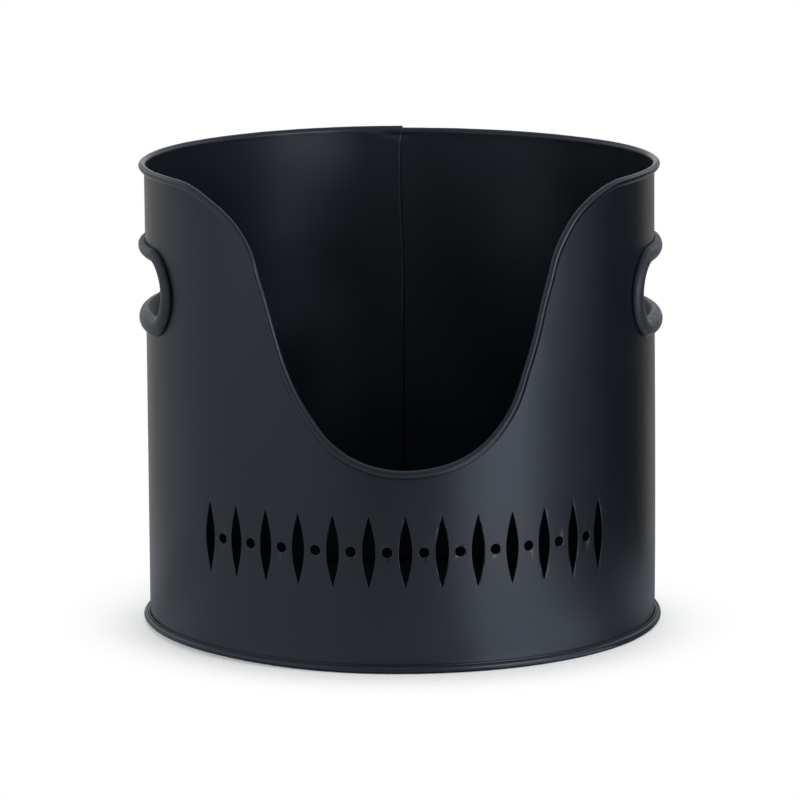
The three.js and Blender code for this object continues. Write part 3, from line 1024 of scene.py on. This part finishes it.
def make_world():
    """A white surround for what is seen directly or in gloss, and an even light for all else."""
    world = bpy.data.worlds.new("studio")
    bpy.context.scene.world = world
    world.use_nodes = True
    tree = world.node_tree
    tree.nodes.clear()
    rays = add(tree, "ShaderNodeLightPath").outputs
    seen = rays["Is Camera Ray"]
    for kind in ("Is Glossy Ray", "Is Transmission Ray"):
        seen = add(tree, "ShaderNodeMath", {0: seen, 1: rays[kind]}, operation="MAXIMUM").outputs[0]
    white = add(tree, "ShaderNodeBackground", {"Color": (1.0, 1.0, 1.0, 1.0), "Strength": 1.0})
    even = add(tree, "ShaderNodeBackground", {"Color": (0.96, 0.98, 1.0, 1.0), "Strength": EVEN_LIGHT})
    mixed = add(tree, "ShaderNodeMixShader", {0: seen, 1: even.outputs[0], 2: white.outputs[0]})
    add(tree, "ShaderNodeOutputWorld", {"Surface": mixed.outputs[0]})


def make_floor():
    """A plain pale floor that fades into the white surround away from the bucket."""
    corners = np.array([[-1.0, -1.0, 0.0], [1.0, -1.0, 0.0], [1.0, 1.0, 0.0], [-1.0, 1.0, 0.0]])
    floor = mesh_object("floor", corners * FLOOR_REACH * MM, [[0, 1, 2, 3]])
    material, tree, output, place = new_material("pale_floor")
    distance = add(tree, "ShaderNodeVectorMath", {0: place}, operation="LENGTH")
    fade = add(tree, "ShaderNodeMapRange", {
        "Value": distance.outputs["Value"], "From Min": FLOOR_FADE[0] * MM, "From Max": FLOOR_FADE[1] * MM,
    }, interpolation_type="SMOOTHSTEP")
    grain = noise(tree, place, size_mm=3, detail=2.0)
    paint = add(tree, "ShaderNodeBsdfDiffuse", {"Color": tint(tree, grain, "#f0f0f0", "#f6f6f6")})
    clear = add(tree, "ShaderNodeBsdfTransparent")
    mixed = add(tree, "ShaderNodeMixShader", {
        0: fade.outputs["Result"], 1: paint.outputs[0], 2: clear.outputs[0],
    })
    tree.links.new(mixed.outputs[0], output.inputs["Surface"])
    floor.data.materials.append(material)
    floor.visible_glossy = False


# Colours of the cards, as linear light
COOL = (0.89, 1.0, 1.19, 1.0)
PALE = (0.95, 1.0, 1.12, 1.0)
NEUTRAL = (1.0, 1.0, 0.98, 1.0)

# Standing cards: start and end in degrees from straight in front towards +X, foot and top, how far
# in from the surround, strength and colour. A card hides what stands behind it.
STANDING_CARDS = {
    "card_grey": (-180.0, 180.0, SURROUND_LOW, SURROUND_HIGH, 0.0, 0.42, COOL),
    "card_left": (-115.0, -22.0, SURROUND_LOW, 100.0, 30.0, 0.5, COOL),
    "card_left_high": (-80.0, -22.0, 100.0, 700.0, 30.0, 1.15, COOL),
    "card_left_top": (-150.0, -80.0, 400.0, SURROUND_HIGH, 30.0, 1.0, COOL),
    "card_left_side": (-150.0, -120.0, SURROUND_LOW, 400.0, 30.0, 0.42, NEUTRAL),
    "card_left_rear": (-164.0, -150.0, SURROUND_LOW, 400.0, 30.0, 0.6, NEUTRAL),
    "card_camera": (-22.0, 24.0, -60.0, SURROUND_HIGH, 40.0, 0.04, COOL),
    "card_front_high": (-28.0, 28.0, 330.0, SURROUND_HIGH, 45.0, 0.3, COOL),
    "card_white": (25.0, 57.0, SURROUND_LOW, 60.0, 60.0, 1.75, COOL),
    "card_white_middle": (28.0, 63.0, 60.0, 300.0, 60.0, 2.5, COOL),
    "card_white_strip": (28.0, 64.0, 300.0, 450.0, 60.0, 8.5, COOL),
    "card_white_high": (28.0, 64.0, 450.0, 650.0, 60.0, 3.0, COOL),
    "card_dim": (57.0, 90.0, SURROUND_LOW, 60.0, 50.0, 0.16, COOL),
    "card_black": (90.0, 137.0, SURROUND_LOW, 400.0, 40.0, 0.02, COOL),
    "card_right_top": (75.0, 150.0, 400.0, SURROUND_HIGH, 40.0, 1.0, COOL),
    "card_rear": (137.0, 164.0, SURROUND_LOW, 400.0, 40.0, 0.45, NEUTRAL),
    "card_backdrop": (164.0, 196.0, SURROUND_LOW, 60.0, 40.0, 1.0, NEUTRAL),
    "card_backdrop_high": (164.0, 196.0, 60.0, 620.0, 40.0, 1.3, NEUTRAL),
}

# Lying cards: start and end in degrees, inner and outer radius, height, strength and colour
BESIDE_BEAD = 156.5
BEYOND_SHADOW = 174.0
TABLE = -2.0
LYING_CARDS = {
    "card_table_left_end": (-150.0, -108.0, BESIDE_BEAD, 360.0, TABLE, 0.5, PALE),
    "card_table_left_rear": (-108.0, -84.0, BESIDE_BEAD, 360.0, TABLE, 0.36, PALE),
    "card_table_left": (-84.0, 20.0, BESIDE_BEAD, 400.0, TABLE, 0.54, COOL),
    "card_table_near": (20.0, 55.0, BESIDE_BEAD, 380.0, TABLE, 1.3, COOL),
    "card_table_right": (55.0, 65.0, BEYOND_SHADOW, 350.0, TABLE, 0.7, COOL),
    "card_table_far": (65.0, 84.0, BEYOND_SHADOW, 320.0, TABLE, 0.28, COOL),
    "card_table_rear": (84.0, 150.0, BEYOND_SHADOW, 300.0, TABLE, 0.4, PALE),
    # Painted shade: a dim ring beside the foot on the right that stands for the bucket's shadow on the
    # table, as the gloss shows it
    "card_table_shadow": (55.0, 150.0, BESIDE_BEAD, BEYOND_SHADOW, TABLE, 0.15, COOL),
    "card_below": (0.0, 360.0, 0.0, SURROUND_RADIUS, SURROUND_LOW, 0.38, COOL),
    # Painted shade: a dark disc under the foot that stands for the contact shadow beneath the bead, as the
    # gloss shows it
    "card_contact_shadow": (0.0, 360.0, 0.0, BESIDE_BEAD, -3.0, 0.12, COOL),
    "card_above": (0.0, 360.0, 0.0, SURROUND_RADIUS, SURROUND_HIGH, 0.5, COOL),
    "card_overhead": (0.0, 360.0, 0.0, 480.0, SURROUND_HIGH - 20.0, 0.6, COOL),
}
STANDING_STEPS = 24
LYING_STEPS = 49


def glow_card(name, points, strength, colour):
    """A card from a grid two points wide. It is seen only in gloss and casts no light of its own."""
    faces = ring_quads(len(points), 2, ring_loop=False, point_loop=False).tolist()
    made = mesh_object(name, points * MM, faces)
    material = bpy.data.materials.new(name)
    material.use_nodes = True
    tree = material.node_tree
    tree.nodes.clear()
    glow = add(tree, "ShaderNodeEmission", {"Color": colour, "Strength": strength})
    add(tree, "ShaderNodeOutputMaterial", {"Surface": glow.outputs[0]})
    made.data.materials.append(material)
    made.visible_camera = False
    made.visible_diffuse = False
    made.visible_shadow = False


def sector_points(start_degrees, end_degrees, steps, radius, height):
    """Points of a sector: radii and heights of its two long sides, turned from the start to the end."""
    angle = np.radians(np.linspace(start_degrees, end_degrees, steps))[:, None]
    radius = radius + 0.0 * angle
    height = height + 0.0 * angle
    return np.stack([radius * np.sin(angle), -radius * np.cos(angle), height], axis=-1)


def make_cards():
    """The surround that the gloss shows.

    It is mid grey, with a stack of white cards at the right front, the brightest one well above the
    rim, a black one at the right rear, a dark one round the camera, pale ones straight behind, and a
    soft box overhead. The table shows as rings of cards that lie round the foot. The dark disc under
    the foot and the dim ring beside it on the right are painted shade, for the bucket's shadow there.
    """
    for name, (start, end, foot, top, set_in, strength, colour) in STANDING_CARDS.items():
        radius = np.array([[1.0, 1.0]]) * (SURROUND_RADIUS - set_in)
        points = sector_points(start, end, STANDING_STEPS, radius, np.array([[foot, top]]))
        glow_card(name, points, strength, colour)
    for name, (start, end, near, far, height, strength, colour) in LYING_CARDS.items():
        height = np.array([[1.0, 1.0]]) * height
        points = sector_points(start, end, LYING_STEPS, np.array([[near, far]]), height)
        glow_card(name, points, strength, colour)


# The lamps' colour, what they are turned to, and each lamp's place, width, height and power
LAMP_COLOUR = (0.97, 0.985, 1.0)
LAMP_AIM = (0.0, 0.0, 130.0)
LAMPS = {
    "light_right": ((950.0, -760.0, 720.0), 700.0, 700.0, 9.0),
    "light_top": ((-100.0, 650.0, 1150.0), 900.0, 700.0, 12.0),
}


def make_lamps():
    """Soft boxes at the right front and overhead, a little behind, that the gloss doesn't show."""
    for name, (place, width, height, power) in LAMPS.items():
        data = bpy.data.lights.new(name, "AREA")
        data.shape = "RECTANGLE"
        data.size = width * MM
        data.size_y = height * MM
        data.energy = power
        data.color = LAMP_COLOUR
        made = placed(name, data)
        made.location = Vector(place) * MM
        direction = (Vector(LAMP_AIM) - Vector(place)).normalized()
        made.rotation_mode = "QUATERNION"
        made.rotation_quaternion = direction.to_track_quat("-Z", "Y")
        made.visible_camera = False
        made.visible_glossy = False


# The bucket
coat = powder_coat("satin_black_powder_coat", "#090e14", "#0c1117", 34.0)
base_coat = powder_coat("satin_black_powder_coat_base", "#080d12", "#0b1015", 52.0)
rubber = moulded_rubber("moulded_black_rubber", "#101317", "#15181c")
wire_steel = drawn_wire("drawn_steel_wire")

make_camera()

wall = wall_object()
wall.data.materials.append(coat)
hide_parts("body_wall")
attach(wall, "root")

base = base_object()
base.data.materials.append(base_coat)
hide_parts("base_pan")
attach(base, "root")

for grip_name, node_name, hole, outside, phase in (
    ("grip_left", "hand_hole_grip_left", HAND_HOLES[1], GRIP_OUTSIDE_LEFT, GRIP_PHASE_LEFT),
    ("grip_right", "hand_hole_grip_right", HAND_HOLES[0], GRIP_OUTSIDE_RIGHT, GRIP_PHASE_RIGHT),
):
    grip = grip_object(grip_name, hole, outside, phase)
    grip.data.materials.append(rubber)
    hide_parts(node_name)
    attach(grip, "root")

wire = wire_object()
wire.data.materials.append(wire_steel)
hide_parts("rim_wire")
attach(wire, "root")

make_world()
make_floor()
make_cards()
make_lamps()

bpy.context.scene.view_settings.view_transform = "Standard"
